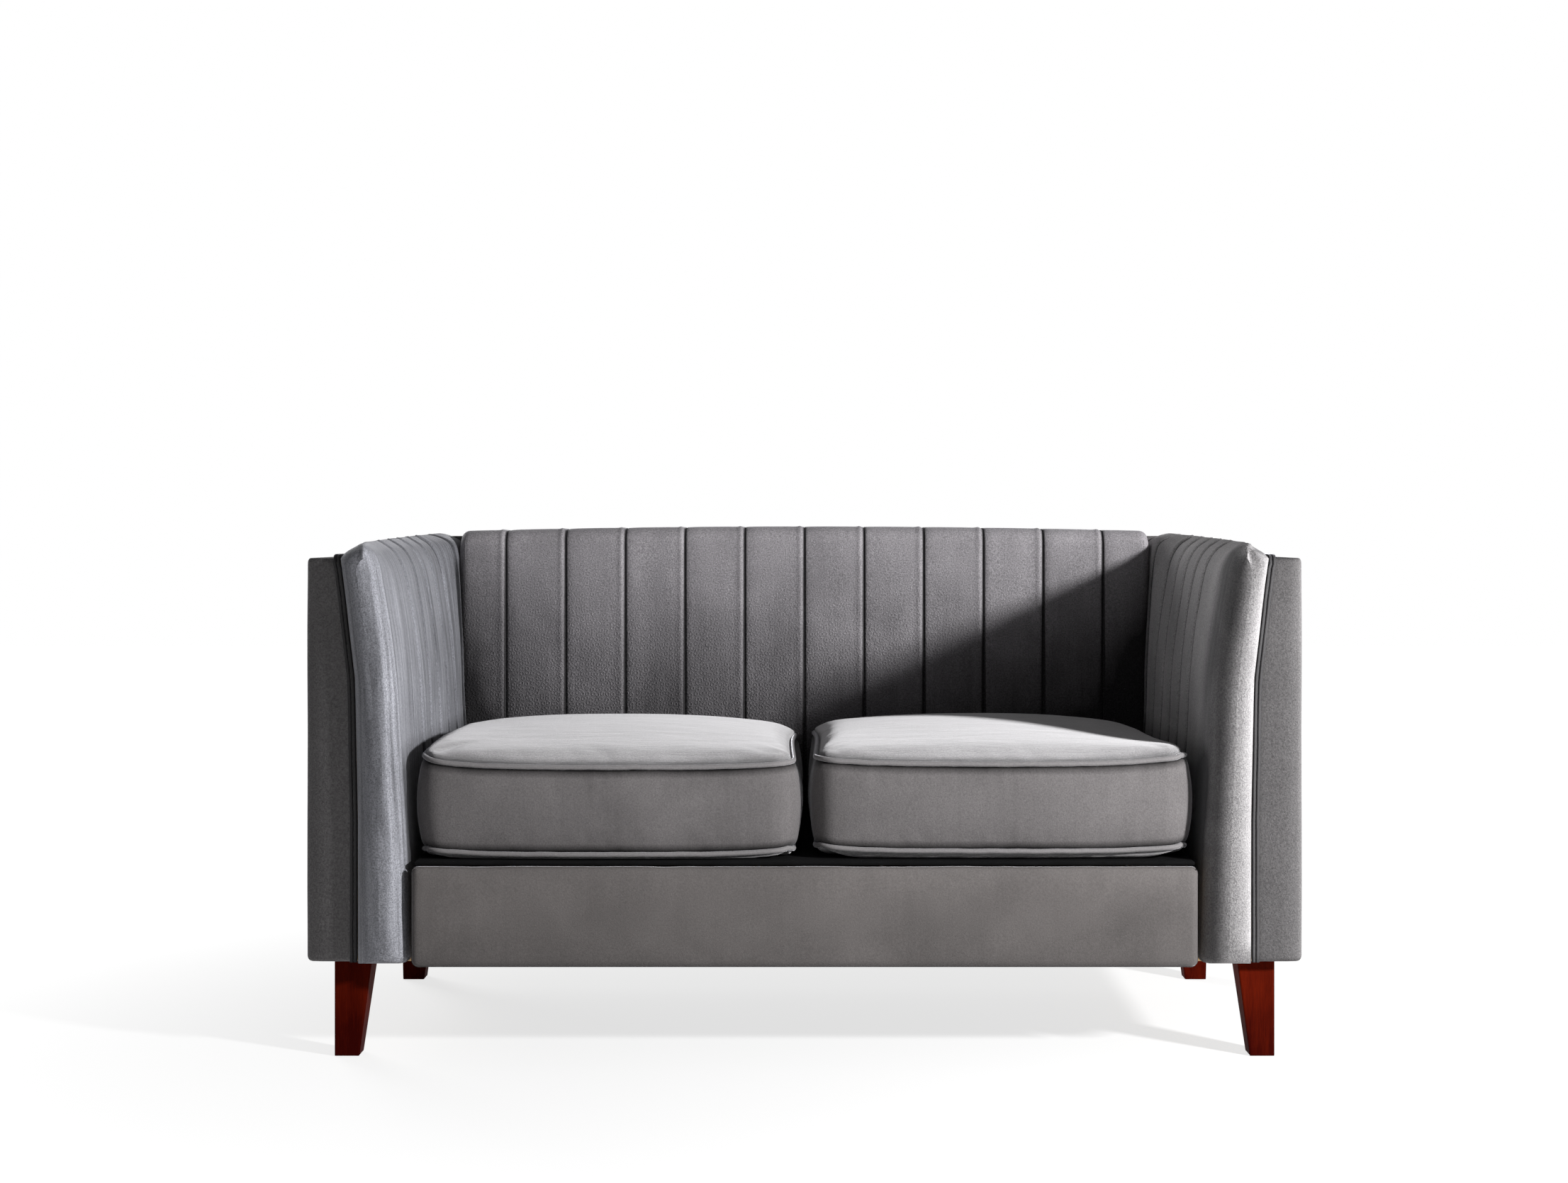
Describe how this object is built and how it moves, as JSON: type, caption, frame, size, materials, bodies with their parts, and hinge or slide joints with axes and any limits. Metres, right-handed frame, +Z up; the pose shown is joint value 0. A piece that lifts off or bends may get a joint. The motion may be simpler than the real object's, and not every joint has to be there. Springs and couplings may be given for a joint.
{
  "type": "tufted loveseat",
  "caption": "Compact channel-tufted velvet loveseat with loose box seat cushions, padded flared arms and tapered wooden legs.",
  "frame": {"origin": "on the floor, under the middle of the sofa's overall width and depth", "axes": "+X to the right as seen from the front, -Y out of the front of the seat, +Z up"},
  "size_m": [1.47, 0.78, 0.789],
  "materials": {
    "velvet": "matte",
    "welt_velvet": "matte",
    "stained_wood": "satin",
    "frame_wood": "matte",
    "foam": "matte",
    "black_cloth": "matte",
    "zip_tape": "matte",
    "steel": "satin"
  },
  "bodies": {
    "frame": {"front_rail": "frame_wood", "rear_rail": "frame_wood", "side_rail_left": "frame_wood", "side_rail_right": "frame_wood", "centre_rail": "frame_wood", "dust_cover": "black_cloth", "seat_deck": "black_cloth", "front_rail_cover": "velvet", "spring_left_1": "steel", "spring_left_2": "steel", "spring_left_3": "steel", "spring_right_1": "steel", "spring_right_2": "steel", "spring_right_3": "steel", "arm_pad_left": "velvet", "arm_pad_right": "velvet", "arm_outer_panel_left": "velvet", "arm_outer_panel_right": "velvet", "arm_double_welt_left": "welt_velvet", "arm_double_welt_right": "welt_velvet", "arm_base_board_left": "frame_wood", "arm_base_board_right": "frame_wood", "arm_front_post_left": "frame_wood", "arm_front_post_right": "frame_wood", "arm_rear_post_left": "frame_wood", "arm_rear_post_right": "frame_wood", "arm_top_rail_left": "frame_wood", "arm_top_rail_right": "frame_wood", "arm_inner_board_left": "frame_wood", "arm_inner_board_right": "frame_wood", "back_pad": "velvet", "back_top_rail": "frame_wood", "back_post_left": "frame_wood", "back_post_right": "frame_wood", "back_bottom_rail": "frame_wood", "back_centre_post": "frame_wood", "back_board": "frame_wood", "back_outer_cover": "velvet", "leg_front_left": "stained_wood", "leg_front_right": "stained_wood", "leg_rear_left": "stained_wood", "leg_rear_right": "stained_wood", "leg_bolt_front_left": "steel", "leg_bolt_front_right": "steel", "leg_bolt_rear_left": "steel", "leg_bolt_rear_right": "steel"},
    "seat_cushion_left": {"cushion_cover_left": "velvet", "cushion_foam_left": "foam", "cushion_welt_top_left": "welt_velvet", "cushion_welt_bottom_left": "welt_velvet", "cushion_zip_left": "zip_tape"},
    "zip_pull_left": {"zip_slider_left": "steel"},
    "seat_cushion_right": {"cushion_cover_right": "velvet", "cushion_foam_right": "foam", "cushion_welt_top_right": "welt_velvet", "cushion_welt_bottom_right": "welt_velvet", "cushion_zip_right": "zip_tape"},
    "zip_pull_right": {"zip_slider_right": "steel"}
  },
  "joints": [
    {"name": "seat_cushion_left_lift", "type": "slide", "parent": "frame", "child": "seat_cushion_left", "axis": [0, 0, 1], "range_m": [0, 0.52]},
    {"name": "zip_pull_left_slide", "type": "slide", "parent": "seat_cushion_left", "child": "zip_pull_left", "axis": [1, 0, 0], "range_m": [0, 0.4]},
    {"name": "seat_cushion_right_lift", "type": "slide", "parent": "frame", "child": "seat_cushion_right", "axis": [0, 0, 1], "range_m": [0, 0.52]},
    {"name": "zip_pull_right_slide", "type": "slide", "parent": "seat_cushion_right", "child": "zip_pull_right", "axis": [1, 0, 0], "range_m": [0, 0.4]}
  ]
}
